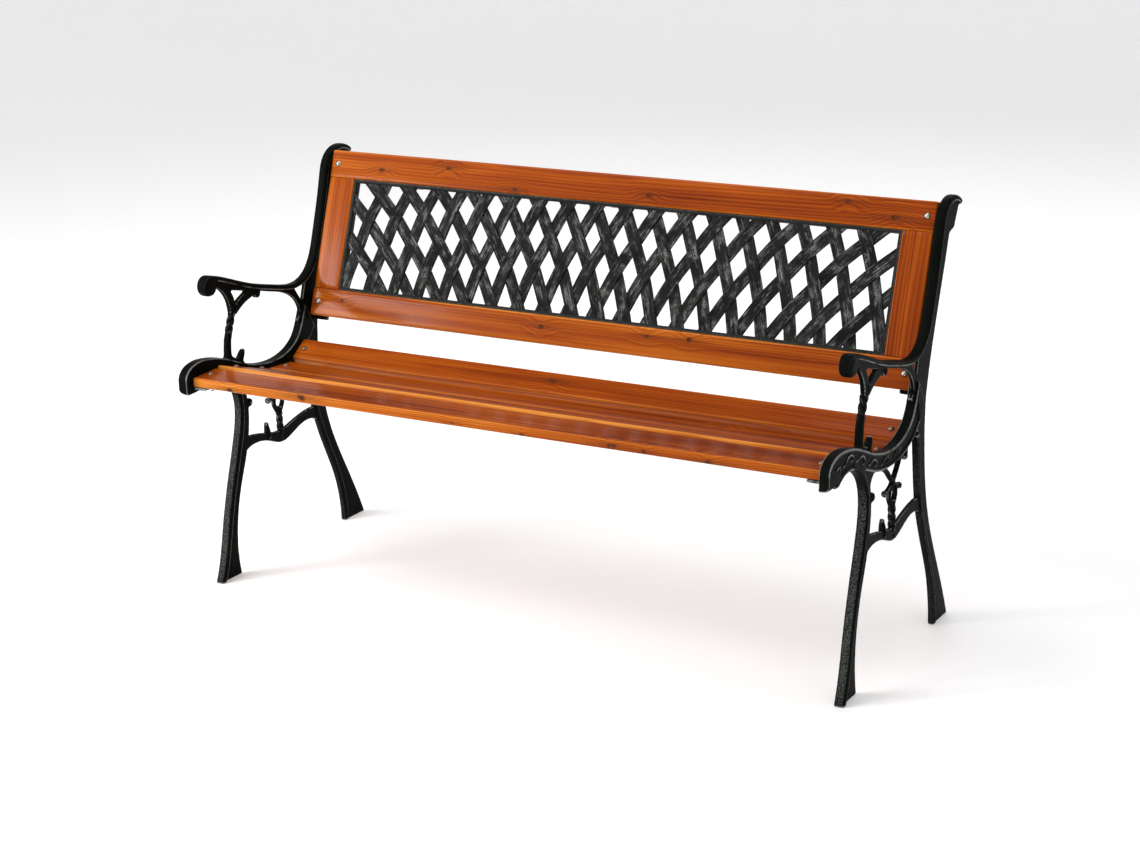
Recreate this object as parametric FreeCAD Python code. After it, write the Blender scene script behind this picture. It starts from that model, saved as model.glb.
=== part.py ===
import FreeCAD, Part
import math
import os
from FreeCAD import Vector

# Garden bench: two cast iron end frames carry five wooden seat slats and a leaning wooden
# back panel with a cast lattice in it.  Millimetres.  X runs along the bench, the front faces
# -Y and the feet stand on Z = 0.  The origin is on the floor under the middle of the bench.

# --- overall ---------------------------------------------------------------------------------
LENGTH = 1200.0            # over the outer faces of the end frames
FRAME_WIDTH = 18.0         # thickness of an end frame at its flanges
WEB = 7.0                  # thickness of the webs, on the frame's middle plane
BACK_FLANGE = 12.0         # width of the flange down the front of the back leg
STEM_RADIUS = 5.8          # core of the rope-like stems under the arm and on the brace
STRAND_WIDTH = 7.0         # the curved branches above the brace
FLANGE_DEPTH = 10.0        # from the front of the legs and post to the flange's rear face
NOSE_Y = -56.0             # foremost point of the side view
TAIL_Y = 461.0             # rearmost point of the side view
END_GAP = 2.0              # between the wood's end and the frame's inner face
FASTENER_INSET = 16.0      # from the frame's inner face to the bolts' centres

# The side view is drawn with y measured rearwards from the toe of the front foot.
MIDDLE_Y = (NOSE_Y + TAIL_Y) / 2
OUTER_X = LENGTH / 2
INNER_X = OUTER_X - FRAME_WIDTH
MIDDLE_X = OUTER_X - FRAME_WIDTH / 2
WOOD_END = INNER_X - END_GAP
BOLT_X = INNER_X - FASTENER_INSET

# --- wood ------------------------------------------------------------------------------------
SLAT_THICKNESS = 16.5
WOOD_ROUNDING = 3.5
# Each slat's top face from its front edge to its rear edge, in the side view.
SLAT_TOPS = (
    ((-40, 390), (23, 392)),
    ((28, 396), (94, 376.5)),
    ((98, 375), (166, 355)),
    ((170, 355), (234, 351)),
    ((239, 357), (277, 383)),
)
PANEL_FOOT = (299, 423)    # lower front edge of the back panel, in the side view
PANEL_HEAD = (400, 707)    # upper front edge
PANEL_THICKNESS = 20.0
PANEL_LEAN = math.degrees(math.atan2(PANEL_HEAD[0] - PANEL_FOOT[0], PANEL_HEAD[1] - PANEL_FOOT[1]))
PANEL_HEIGHT = math.dist(PANEL_FOOT, PANEL_HEAD)
RAIL_HEIGHT = 50.0
STILE_WIDTH = 52.5
OPENING_X = WOOD_END - STILE_WIDTH
OPENING_LOW = RAIL_HEIGHT
OPENING_HIGH = PANEL_HEIGHT - RAIL_HEIGHT
DOWEL_RADIUS = 4.0
DOWEL_LENGTH = 30.0
DOWEL_SPACING = 26.0

# --- lattice ---------------------------------------------------------------------------------
RIM_WIDTH = 5.5
RIM_FRONT = 2.0            # set back from the wood's front face
RIM_DEPTH = 14.0
STRIP_WIDTH = 22.0
STRIP_THICKNESS = 5.0
STRIP_RADIUS = 936.0       # every strip is an arc of this radius
STRIP_SPACING = 52.8
STRIP_SHIFT = 19.5         # of the middle strip, off the bench's middle
STRIP_COUNT = 9            # strips on each side of the middle one
EAR_XS = (-400.0, 0.0, 400.0)
EAR_SIZE = (16.0, 22.0, 3.0)

# --- fasteners -------------------------------------------------------------------------------
SHANK_RADIUS = 3.0
CLEARANCE = 0.3
HEAD_RADIUS = 5.5
HEAD_HEIGHT = 3.6
WASHER_RADIUS = 6.5
WASHER_THICKNESS = 1.2
NUT_ACROSS_FLATS = 10.0
NUT_HEIGHT = 5.0
THREAD_END = 2.5           # bolt standing out of its nut
LEDGE = 5.0                # thickness of the ledge under the slats
LUG = 6.0                  # thickness of the lugs behind the rails
LUG_BELOW = 31.0           # from the rail's middle down to the lug's end, and up to its top
LUG_ABOVE = 17.0
SCREW_RADIUS = 1.8
SCREW_LENGTH = 14.0
SCREW_HEAD = (4.0, 2.4)

# --- side view of an end frame: (y, z) along each curve ----------------------------------------
BAND_TOP = ((-56, 388), (-50, 400), (-32, 410), (0, 412), (35, 406), (63, 397), (104, 380),
            (140, 369), (178, 363.5), (210, 365), (240, 373.5), (263, 389), (279, 415), (291, 443))
BAND_BOTTOM = ((316, 398), (297, 377), (272, 357), (236, 342), (180, 336), (126, 342), (74, 360),
               (42, 370), (15, 374), (-6, 369.5), (-20, 362))
ARM_AND_POST = ((27, 552.5), (54, 546), (75, 539), (107, 527), (156, 510.5), (197, 500),
                (235, 491), (272, 487.5), (301, 496), (322, 515.5), (342, 560), (358, 608),
                (373, 660), (385, 692), (405, 708.5), (436, 712), (461, 700))
POST_REAR = ((333, 404), (346, 455), (370, 525), (399, 601), (418, 654))
POST_PAD = ((461, 700), (453, 687), (438, 659))
FRONT_LEG_FRONT = ((5, 0), (21, 45), (34, 100), (55, 175), (77, 243), (87, 288), (84, 324),
                   (72, 346), (54, 361), (34, 371.5))
FRONT_LEG_REAR = ((109, 333), (116, 295), (115, 268), (103, 215), (80, 155), (66, 100),
                  (62, 40), (67, 0))
BACK_LEG_FRONT = ((383, 0), (380, 40), (368, 90), (347, 140), (324, 192), (309, 238),
                  (300, 295), (293, 352))
BACK_LEG_REAR = ((333, 404), (331, 370), (334, 297), (341, 248), (355, 198), (377, 147),
                 (403, 96), (428, 46), (448, 0))
BRACE_BOTTOM = ((104, 219), (136, 224.5), (170, 217.5), (205, 206), (252, 218.5), (288, 226),
                (314, 218))
BRACE_TOP = ((306, 246), (272, 243.5), (236, 235.5), (206, 229), (180, 231), (149, 238), (110, 243))


# --- drawing in the side view ------------------------------------------------------------------
def in_frame(point, x=0.0):
    """A side view point at a place along the bench."""
    return Vector(x, point[0] - MIDDLE_Y, point[1])


def smooth(points, x=0.0):
    """The smooth curve through side view points."""
    curve = Part.BSplineCurve()
    curve.interpolate([in_frame(point, x) for point in points])
    return curve


def plate(stretches, width, middle_x=MIDDLE_X):
    """A flat plate across X whose outline runs along smooth and straight stretches."""
    x = middle_x - width / 2
    edges = []
    for index, stretch in enumerate(stretches):
        following = stretches[(index + 1) % len(stretches)]
        if len(stretch) == 2:
            edges.append(Part.makeLine(in_frame(stretch[0], x), in_frame(stretch[1], x)))
        elif len(stretch) > 2:
            edges.append(smooth(stretch, x).toShape())
        if math.dist(stretch[-1], following[0]) > 0.01:
            edges.append(Part.makeLine(in_frame(stretch[-1], x), in_frame(following[0], x)))
    return Part.Face(Part.Wire(edges)).extrude(Vector(width, 0, 0))


def beside(points, distance, count):
    """Points at a distance to the right of the smooth curve through the given ones."""
    curve = smooth(points)
    result = []
    for index in range(count):
        at = curve.FirstParameter + (curve.LastParameter - curve.FirstParameter) * index / (count - 1)
        place = curve.value(at)
        along = curve.tangent(at)[0]
        result.append((place.y + along.z * distance + MIDDLE_Y, place.z - along.y * distance))
    return result


def flange(points, depth, width, rounding):
    """A strip behind a smooth curve, with the two edges of its outer face rounded."""
    inner = beside(points, depth, 2 * len(points))
    solid = plate([points, list(reversed(inner))], width)
    sides = (MIDDLE_X - width / 2, MIDDLE_X + width / 2)
    outer = smooth(points)
    middle = outer.value((outer.FirstParameter + outer.LastParameter) / 2)
    rims = []
    for edge in solid.Edges:
        box = edge.BoundBox
        flat = any(abs(box.XMin - x) < 0.01 and abs(box.XMax - x) < 0.01 for x in sides)
        spot = Part.Vertex(Vector(box.XMin, middle.y, middle.z))
        if flat and edge.distToShape(spot)[0] < 0.01:
            rims.append(edge)
    return solid.makeFillet(rounding, rims)


def strand(points, thickness, width):
    """A curved branch of even width, centred on a smooth curve."""
    count = 2 * len(points)
    left = beside(points, -width / 2, count)
    right = beside(points, width / 2, count)
    return plate([left, list(reversed(right))], thickness)


def disc(centre, radius, width):
    """A round boss across X."""
    start = in_frame(centre, MIDDLE_X - width / 2)
    return Part.makeCylinder(radius, width, start, Vector(1, 0, 0))


def bar(start, end, start_radius, end_radius):
    """A round bar in the frame's middle plane."""
    first = in_frame(start, MIDDLE_X)
    along = in_frame(end, MIDDLE_X) - first
    if abs(start_radius - end_radius) < 0.01:
        return Part.makeCylinder(start_radius, along.Length, first, along)
    return Part.makeCone(start_radius, end_radius, along.Length, first, along)


# --- placing on the slats and on the back panel --------------------------------------------------
def slat_tilt(slat):
    (front_y, front_z), (rear_y, rear_z) = slat
    return math.degrees(math.atan2(rear_z - front_z, rear_y - front_y))


def on_slat(shape, slat):
    """Place a shape made with Y along the slat's top from its front edge and Z out of it."""
    turn = FreeCAD.Rotation(Vector(1, 0, 0), slat_tilt(slat))
    placed = shape.copy()
    placed.Placement = FreeCAD.Placement(in_frame(slat[0]), turn).multiply(shape.Placement)
    return placed


def on_panel(shape):
    """Place a shape made with Z up the back panel and Y into it from its front face."""
    turn = FreeCAD.Rotation(Vector(1, 0, 0), -PANEL_LEAN)
    placed = shape.copy()
    placed.Placement = FreeCAD.Placement(in_frame(PANEL_FOOT), turn).multiply(shape.Placement)
    return placed


def block(low, high):
    """A box between two corners."""
    size = Vector(*high) - Vector(*low)
    return Part.makeBox(size.x, size.y, size.z, Vector(*low))


def board(low, high, long_axis):
    """A board with its four long edges rounded."""
    solid = block(low, high)
    long_edges = []
    for edge in solid.Edges:
        along = edge.Vertexes[1].Point - edge.Vertexes[0].Point
        if abs(abs(along.normalize()[long_axis]) - 1) < 0.01:
            long_edges.append(edge)
    return solid.makeFillet(WOOD_ROUNDING, long_edges)


# --- end frame -----------------------------------------------------------------------------------
def band():
    """The thick curved band beside the seat, recessed on its outer face between two rims."""
    solid = plate([BAND_TOP, BAND_BOTTOM, ((-56, 361), (-56, 388))], FRAME_WIDTH)
    recess_depth = 2.5
    upper = beside(BAND_TOP[1:-1], 5.0, 18)
    lower = beside(BAND_BOTTOM[1:-1], 5.0, 14)
    return solid.cut(plate([upper, lower], recess_depth, OUTER_X - recess_depth / 2))


def front_leg():
    front = beside(FRONT_LEG_FRONT[:-1], FLANGE_DEPTH / 2, 16)
    web = plate([front, ((60, 366), (112, 352)), FRONT_LEG_REAR, ((67, 0), (14, 0))], WEB)
    knob = disc((120, 303), 7.5, WEB + 2)
    return [web, knob, flange(FRONT_LEG_FRONT, FLANGE_DEPTH, FRAME_WIDTH, 4.0)]


def back_leg():
    front = beside(BACK_LEG_FRONT, FLANGE_DEPTH / 2, 16)
    web = plate([front, ((300, 378), (316, 398)), BACK_LEG_REAR, ((448, 0), (392, 0))], WEB)
    return [web, flange(BACK_LEG_FRONT, FLANGE_DEPTH, BACK_FLANGE, 3.0)]


def post():
    front = beside(ARM_AND_POST[8:-1], FLANGE_DEPTH / 2, 18)
    web = plate([front, POST_PAD, tuple(reversed(POST_REAR)), ((316, 398), (285, 425)),
                 ((289, 449), (301, 484))], WEB)
    return [web, flange(ARM_AND_POST, FLANGE_DEPTH - 1, FRAME_WIDTH, 5.0)]


def arm():
    """The scroll at the arm's front, the fork that carries it and the corner web behind it."""
    scroll = disc((27, 534.5), 18.0, FRAME_WIDTH)
    scroll = scroll.makeFillet(4.0, [edge for edge in scroll.Edges if edge.Closed])
    boss = disc((28, 530), 12.0, FRAME_WIDTH + 3)
    fork = plate([((44, 528), (65, 514.5), (76, 499), (82, 474)),
                  ((98, 468), (114, 478.5), (144, 489)),
                  ((165, 502), (130, 514), (70, 536), (44, 542))], WEB + 2)
    window = plate([((85, 514), (93, 502), (97, 487)), ((112, 495.5), (130, 503))], WEB + 2)
    fork = fork.cut(window)
    knob = disc((160, 492), 8.0, WEB + 3)
    corner = plate([((165, 496), (222, 480.5), (249, 470), (268, 456), (279, 438), (281, 426)),
                    ((270, 418), (281, 407)), ((290, 425), (289, 449)), ((269, 477), (269, 483)),
                    ((230, 487), (165, 504))], WEB)
    ceiling = plate([((262, 477), (301, 484)), ((305, 492), (262, 484))], WEB)
    return [scroll, boss, fork, knob, corner, ceiling]


def arm_stem():
    """The rope-like stem from the seat band up to the fork, and the finger beside its foot."""
    rope = bar((92, 478), (78, 441), STEM_RADIUS, STEM_RADIUS)
    neck = bar((82, 452), (72, 424), STEM_RADIUS - 0.5, STEM_RADIUS - 0.9)
    shin = bar((73.5, 430), (70, 396), STEM_RADIUS - 1.0, STEM_RADIUS - 0.7)
    foot = plate([((66, 410), (63, 400), (56, 391)), ((56, 386), (116, 368)),
                  ((110, 384), (96, 390), (84, 395), (76, 408))], WEB + 2)
    finger = bar((100, 378), (112, 399), 4.6, 3.6)
    tip = disc((112.2, 399.5), 3.9, WEB)
    return [rope, neck, shin, foot, finger, tip]


def brace():
    """The bar between the legs with its pierced ornament up to the band."""
    tie = plate([BRACE_BOTTOM, BRACE_TOP], WEB)
    finger = bar((169, 224), (166, 249), 4.8, 3.8)
    tip = disc((166, 249.5), 4.1, WEB)
    stem = bar((206, 222), (205, 268), STEM_RADIUS, STEM_RADIUS)
    # Two branches come down from the band, cross, and close a loop above the stem.
    front = strand(((148, 341), (167, 334), (181, 325), (192, 314), (205, 303), (214, 293),
                    (216.5, 282), (212, 271), (206, 262)), WEB, STRAND_WIDTH)
    rear = strand(((242, 345), (231, 333), (219, 318), (205, 303), (194, 293), (191, 282),
                   (196, 271), (203, 262)), WEB, STRAND_WIDTH)
    curls = [strand(((200, 299), (188, 294), (175, 291)), WEB, STRAND_WIDTH - 1),
             strand(((210, 298), (220, 293), (231, 289)), WEB, STRAND_WIDTH - 1),
             disc((175, 291), 5.2, WEB + 2), disc((231, 289), 5.2, WEB + 2)]
    finial = bar((257, 350), (253.5, 331), 4.6, 5.4)
    gusset = plate([((111, 312), (115, 330), (130, 341.5)), ((128, 348), (100, 348))], WEB)
    whole = tie.fuse([finger, tip, stem, front, rear, finial, gusset] + curls)
    return [whole.cut(disc((206, 214), 3.4, 3 * FRAME_WIDTH))]


def ledges():
    """The ledge under each slat's end, and the rib that joins it to the band."""
    pieces = []
    for slat in SLAT_TOPS:
        width = math.dist(*slat)
        low = -SLAT_THICKNESS - LEDGE
        shelf = block((BOLT_X - 11, 0, low), (INNER_X + 7, width, -SLAT_THICKNESS))
        rib = block((INNER_X, 0, low), (INNER_X + 7, width, -SLAT_THICKNESS / 2))
        pieces.append(on_slat(shelf.fuse(rib), slat))
    return pieces


def lugs():
    """The two flat lugs behind the rails' ends."""
    pieces = []
    for middle in rail_middles():
        low = (BOLT_X - 12, PANEL_THICKNESS, middle - LUG_BELOW)
        high = (MIDDLE_X, PANEL_THICKNESS + LUG, middle + LUG_ABOVE)
        pieces.append(on_panel(block(low, high)))
    return pieces


def end_frame():
    """The right end frame, in one casting."""
    parts = front_leg() + back_leg() + post() + arm() + arm_stem() + brace() + ledges() + lugs()
    solid = band().fuse(parts)
    waste = [fastener_hole(BOLT_X, place) for place in fastener_places()]
    waste.append(block((0, -LENGTH, -50), (LENGTH, LENGTH, 0)))
    return solid.cut(waste).removeSplitter()


# --- fasteners -------------------------------------------------------------------------------------
def rail_middles():
    return (RAIL_HEIGHT / 2, PANEL_HEIGHT - RAIL_HEIGHT / 2)


def seat_place(slat):
    """How a fastener drawn along Z at the origin is placed on the middle of a slat."""
    return lambda shape: on_slat(shape.translated(Vector(0, math.dist(*slat) / 2, 0)), slat)


def rail_place(middle):
    """How a fastener drawn along Z at the origin is placed on a rail, facing forwards."""
    def place(shape):
        turned = shape.copy()
        turned.rotate(Vector(0, 0, 0), Vector(1, 0, 0), 90)
        return on_panel(turned.translated(Vector(0, 0, middle)))
    return place


def seat_places():
    return [seat_place(slat) for slat in SLAT_TOPS]


def rail_places():
    return [rail_place(middle) for middle in rail_middles()]


def fastener_places():
    return seat_places() + rail_places()


def fastener_hole(x, place):
    reach = 60.0
    hole = Part.makeCylinder(SHANK_RADIUS + CLEARANCE, reach, Vector(x, 0, -reach / 2))
    return place(hole)


def bolt(grip):
    """A dome-headed bolt whose head sits on Z = 0."""
    dome_radius = (HEAD_RADIUS ** 2 + HEAD_HEIGHT ** 2) / (2 * HEAD_HEIGHT)
    ball = Part.makeSphere(dome_radius, Vector(0, 0, HEAD_HEIGHT - dome_radius))
    head = ball.common(Part.makeCylinder(HEAD_RADIUS, HEAD_HEIGHT))
    length = grip + WASHER_THICKNESS + NUT_HEIGHT + THREAD_END
    shank = Part.makeCylinder(SHANK_RADIUS, length, Vector(0, 0, -length))
    return head.fuse(shank).removeSplitter()


def washer(grip):
    top = Vector(0, 0, -grip - WASHER_THICKNESS)
    ring = Part.makeCylinder(WASHER_RADIUS, WASHER_THICKNESS, top)
    return ring.cut(Part.makeCylinder(SHANK_RADIUS + CLEARANCE, WASHER_THICKNESS, top))


def nut(grip):
    base = Vector(0, 0, -grip - WASHER_THICKNESS - NUT_HEIGHT)
    reach = NUT_ACROSS_FLATS / 2 / math.cos(math.pi / 6)
    corners = []
    for index in range(7):
        angle = index * math.pi / 3
        corners.append(base + Vector(reach * math.cos(angle), reach * math.sin(angle), 0))
    prism = Part.Face(Part.makePolygon(corners)).extrude(Vector(0, 0, NUT_HEIGHT))
    return prism.cut(Part.makeCylinder(SHANK_RADIUS + 0.05, NUT_HEIGHT, base))


def fastener_group(make, grip, places):
    """The same fastener at both ends of every slat or rail."""
    single = make(grip)
    solids = []
    for place in places:
        for x in (-BOLT_X, BOLT_X):
            solids.append(place(single.translated(Vector(x, 0, 0))))
    return Part.makeCompound(solids)


# --- wood ------------------------------------------------------------------------------------------
def drilled(solid, places):
    holes = []
    for place in places:
        holes += [fastener_hole(-BOLT_X, place), fastener_hole(BOLT_X, place)]
    return solid.cut(holes)


def seat_slat(slat):
    solid = board((-WOOD_END, 0, -SLAT_THICKNESS), (WOOD_END, math.dist(*slat), 0), 0)
    return drilled(on_slat(solid, slat), [seat_place(slat)])


def dowel(x, joint, extra=0.0):
    """A dowel across a joint between a rail and a stile."""
    length = DOWEL_LENGTH + 2 * extra
    start = Vector(x, PANEL_THICKNESS / 2, joint - length / 2)
    return on_panel(Part.makeCylinder(DOWEL_RADIUS + extra, length, start))


def dowel_positions():
    middle = WOOD_END - STILE_WIDTH / 2
    for side in (-1, 1):
        for offset in (-DOWEL_SPACING / 2, DOWEL_SPACING / 2):
            for joint in (OPENING_LOW, OPENING_HIGH):
                yield side * middle + offset, joint


def stile_dowels():
    return Part.makeCompound([dowel(x, joint) for x, joint in dowel_positions()])


def dowel_holes():
    return [dowel(x, joint, 0.1) for x, joint in dowel_positions()]


def rail(low, middle):
    solid = board((-WOOD_END, 0, low), (WOOD_END, PANEL_THICKNESS, low + RAIL_HEIGHT), 0)
    solid = drilled(on_panel(solid), [rail_place(middle)])
    return solid.cut(dowel_holes() + [screw(x, joint, 0.05) for x, joint in screw_positions()])


def stile(side):
    left = min(side * OPENING_X, side * WOOD_END)
    low = (left, 0, OPENING_LOW)
    high = (left + STILE_WIDTH, PANEL_THICKNESS, OPENING_HIGH)
    return on_panel(board(low, high, 2)).cut(dowel_holes())


# --- lattice ---------------------------------------------------------------------------------------
def strip_arc(index):
    """Centre of a falling strip's arc, and its angle from X where it crosses mid-height."""
    middle_x = STRIP_SHIFT + STRIP_SPACING * index - 0.88 * min(index, 0) ** 2
    angle = math.radians(64.8 + 1.7 * index - 0.085 * index ** 2)
    middle_z = (OPENING_LOW + OPENING_HIGH) / 2
    centre_x = middle_x - STRIP_RADIUS * math.sin(angle)
    centre_z = middle_z - STRIP_RADIUS * math.cos(angle)
    return Vector(centre_x, 0, centre_z), math.pi / 2 - angle


def strip_face(index, side):
    """A strip's flat face, a little longer than the opening needs."""
    centre, turn = strip_arc(index)
    half_sweep = 0.22
    rims = []
    for radius in (STRIP_RADIUS - STRIP_WIDTH / 2, STRIP_RADIUS + STRIP_WIDTH / 2):
        points = []
        for sweep in (turn - half_sweep, turn, turn + half_sweep):
            x = centre.x + radius * math.cos(sweep)
            z = centre.z + radius * math.sin(sweep)
            points.append(Vector(side * x, 0, z))
        rims.append(points)
    inner, outer = rims
    edges = [Part.Arc(*inner).toShape(), Part.makeLine(inner[2], outer[2]),
             Part.Arc(*outer).toShape(), Part.makeLine(outer[0], inner[0])]
    return Part.Face(Part.Wire(Part.__sortEdges__(edges)))


def rectangle(half_width, low, high):
    corners = [Vector(-half_width, 0, low), Vector(half_width, 0, low),
               Vector(half_width, 0, high), Vector(-half_width, 0, high)]
    return Part.Face(Part.makePolygon(corners + corners[:1]))


def back_lattice():
    """Two families of curved strips in a rim, with ears behind the rails for its screws."""
    window = rectangle(OPENING_X - RIM_WIDTH / 2, OPENING_LOW + RIM_WIDTH / 2,
                       OPENING_HIGH - RIM_WIDTH / 2)
    strips = []
    for side in (1, -1):
        for index in range(-STRIP_COUNT, STRIP_COUNT + 1):
            strips.append(strip_face(index, side))
    net = strips[0].fuse(strips[1:]).common(window).removeSplitter()
    net = net.extrude(Vector(0, STRIP_THICKNESS, 0)).translated(Vector(0, RIM_FRONT, 0))
    outer = rectangle(OPENING_X, OPENING_LOW, OPENING_HIGH)
    inner = rectangle(OPENING_X - RIM_WIDTH, OPENING_LOW + RIM_WIDTH, OPENING_HIGH - RIM_WIDTH)
    rim = outer.cut(inner).extrude(Vector(0, RIM_DEPTH, 0)).translated(Vector(0, RIM_FRONT, 0))
    ears = []
    width, reach, thickness = EAR_SIZE
    for x in EAR_XS:
        for edge, out in ((OPENING_LOW, -1), (OPENING_HIGH, 1)):
            heights = sorted((edge - out * RIM_WIDTH, edge))
            leg = block((x - width / 2, RIM_FRONT + RIM_DEPTH, heights[0]),
                        (x + width / 2, PANEL_THICKNESS + thickness, heights[1]))
            heights = sorted((edge - out * RIM_WIDTH, edge + out * reach))
            tab = block((x - width / 2, PANEL_THICKNESS, heights[0]),
                        (x + width / 2, PANEL_THICKNESS + thickness, heights[1]))
            ears += [leg, tab]
    holes = [screw(x, joint, CLEARANCE) for x, joint in screw_positions()]
    return on_panel(rim.fuse([net] + ears)).cut(holes).removeSplitter()


def screw_positions():
    offset = EAR_SIZE[1] * 0.6
    for x in EAR_XS:
        yield x, OPENING_LOW - offset
        yield x, OPENING_HIGH + offset


def screw(x, height, extra=0.0):
    """A pan-head screw through an ear into a rail, from behind."""
    head_radius, head_height = SCREW_HEAD
    seat = PANEL_THICKNESS + EAR_SIZE[2]
    into = Vector(0, -1, 0)
    shank = Part.makeCylinder(SCREW_RADIUS + extra, SCREW_LENGTH + extra, Vector(x, seat, height), into)
    head = Part.makeCylinder(head_radius, head_height, Vector(x, seat + head_height, height), into)
    return on_panel(shank.fuse(head).removeSplitter())


def lattice_screws():
    return Part.makeCompound([screw(x, height) for x, height in screw_positions()])


# --- the whole bench -------------------------------------------------------------------------------
def nodes():
    right = end_frame()
    yield "end_frame_right", right
    yield "end_frame_left", right.mirror(Vector(0, 0, 0), Vector(1, 0, 0))
    for number, slat in enumerate(SLAT_TOPS, 1):
        yield "seat_slat_%d" % number, seat_slat(slat)
    low_middle, high_middle = rail_middles()
    yield "back_bottom_rail", rail(0.0, low_middle)
    yield "back_top_rail", rail(OPENING_HIGH, high_middle)
    yield "back_stile_left", stile(-1)
    yield "back_stile_right", stile(1)
    yield "stile_dowels", stile_dowels()
    yield "back_lattice", back_lattice()
    yield "lattice_screws", lattice_screws()
    seat_grip = SLAT_THICKNESS + LEDGE
    rail_grip = PANEL_THICKNESS + LUG
    for name, make in (("bolts", bolt), ("washers", washer), ("nuts", nut)):
        yield "seat_" + name, fastener_group(make, seat_grip, seat_places())
        yield "back_rail_" + name, fastener_group(make, rail_grip, rail_places())


os.makedirs("parts", exist_ok=True)
for node, shape in nodes():
    shape.exportStep("parts/%s.step" % node)
    box = shape.BoundBox
    print("%-18s solids %2d valid %s volume %9.0f  x %7.1f %7.1f  y %7.1f %7.1f  z %6.1f %6.1f" % (
        node, len(shape.Solids), shape.isValid(), shape.Volume,
        box.XMin, box.XMax, box.YMin, box.YMax, box.ZMin, box.ZMax))
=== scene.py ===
import math

import bmesh
import bpy
import numpy as np
from mathutils import Matrix, Vector, noise


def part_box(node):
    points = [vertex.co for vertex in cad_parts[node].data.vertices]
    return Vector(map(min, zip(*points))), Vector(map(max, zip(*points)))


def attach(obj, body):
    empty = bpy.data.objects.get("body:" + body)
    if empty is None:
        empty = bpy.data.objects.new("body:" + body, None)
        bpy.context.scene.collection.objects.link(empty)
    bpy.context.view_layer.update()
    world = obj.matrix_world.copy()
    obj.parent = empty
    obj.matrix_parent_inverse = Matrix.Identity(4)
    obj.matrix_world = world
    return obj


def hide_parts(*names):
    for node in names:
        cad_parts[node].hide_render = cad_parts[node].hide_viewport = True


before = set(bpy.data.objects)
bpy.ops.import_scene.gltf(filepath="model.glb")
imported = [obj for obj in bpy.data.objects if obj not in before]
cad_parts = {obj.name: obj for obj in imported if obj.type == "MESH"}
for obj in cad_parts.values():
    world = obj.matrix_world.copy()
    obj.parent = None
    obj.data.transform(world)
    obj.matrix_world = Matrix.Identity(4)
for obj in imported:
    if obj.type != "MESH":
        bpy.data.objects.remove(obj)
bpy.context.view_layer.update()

MM = 0.001
BODY = "root"
FRONT = Vector((0.0, -1.0, 0.0))
UP = Vector((0.0, 0.0, 1.0))
ALONG = Vector((1.0, 0.0, 0.0))


# --- camera, light and floor ---------------------------------------------------------------------
CAMERA_YAW = math.radians(30.27)
CAMERA_PITCH = math.radians(17.04)
CAMERA_ROLL = math.radians(-1.356)
CAMERA_LENS = 73.90
CAMERA_PLACE = (1.8968, -3.2222, 1.4578)


def make_camera():
    """The photograph's viewing angle: from the front right and above, with a long lens."""
    yaw, pitch, roll = CAMERA_YAW, CAMERA_PITCH, CAMERA_ROLL
    forward = Vector((-math.sin(yaw) * math.cos(pitch), math.cos(yaw) * math.cos(pitch), -math.sin(pitch)))
    right = Vector((math.cos(yaw), math.sin(yaw), 0.0))
    up = right.cross(forward)
    rolled_right = math.cos(roll) * right + math.sin(roll) * up
    rolled_up = -math.sin(roll) * right + math.cos(roll) * up
    data = bpy.data.cameras.new("camera")
    data.sensor_width = 36.0
    data.lens = CAMERA_LENS
    data.clip_end = 50.0
    camera = bpy.data.objects.new("camera", data)
    bpy.context.scene.collection.objects.link(camera)
    turn = Matrix((rolled_right, rolled_up, -forward)).transposed().to_4x4()
    camera.matrix_world = Matrix.Translation(CAMERA_PLACE) @ turn
    bpy.context.scene.camera = camera


def add_light(name, place, target, size, power):
    """A white rectangular light at a place, turned to its target."""
    data = bpy.data.lights.new(name, "AREA")
    data.shape = "RECTANGLE"
    data.size, data.size_y = size
    data.energy = power
    light = bpy.data.objects.new(name, data)
    bpy.context.scene.collection.objects.link(light)
    light.location = place
    light.rotation_euler = (Vector(target) - Vector(place)).to_track_quat("-Z", "Y").to_euler()


FLOOR_RADIUS = 5.0     # metres, where the floor starts to curve up
CURVE_RADIUS = 3.0
WALL_TOP = 5.0


def sweep_mesh():
    """A pale floor that curves up all round, far outside the bench."""
    build = bmesh.new()
    sides = 96
    steps = 12
    profile = [(0.4, 0.0), (2.0, 0.0), (FLOOR_RADIUS, 0.0)]
    for step in range(1, steps + 1):
        angle = math.radians(90.0 * step / steps)
        profile.append((FLOOR_RADIUS + CURVE_RADIUS * math.sin(angle), CURVE_RADIUS - CURVE_RADIUS * math.cos(angle)))
    profile.append((FLOOR_RADIUS + CURVE_RADIUS, WALL_TOP))
    rings = []
    for radius, height in profile:
        ring = []
        for side_index in range(sides):
            angle = 2 * math.pi * side_index / sides
            ring.append(build.verts.new((radius * math.cos(angle), radius * math.sin(angle), height)))
        rings.append(ring)
    build.faces.new(rings[0])
    for inner, outer in zip(rings, rings[1:]):
        for index in range(sides):
            nxt = (index + 1) % sides
            build.faces.new((inner[index], outer[index], outer[nxt], inner[nxt]))
    mesh = bpy.data.meshes.new("floor")
    build.to_mesh(mesh)
    build.free()
    mesh.shade_smooth()
    return mesh


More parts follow.
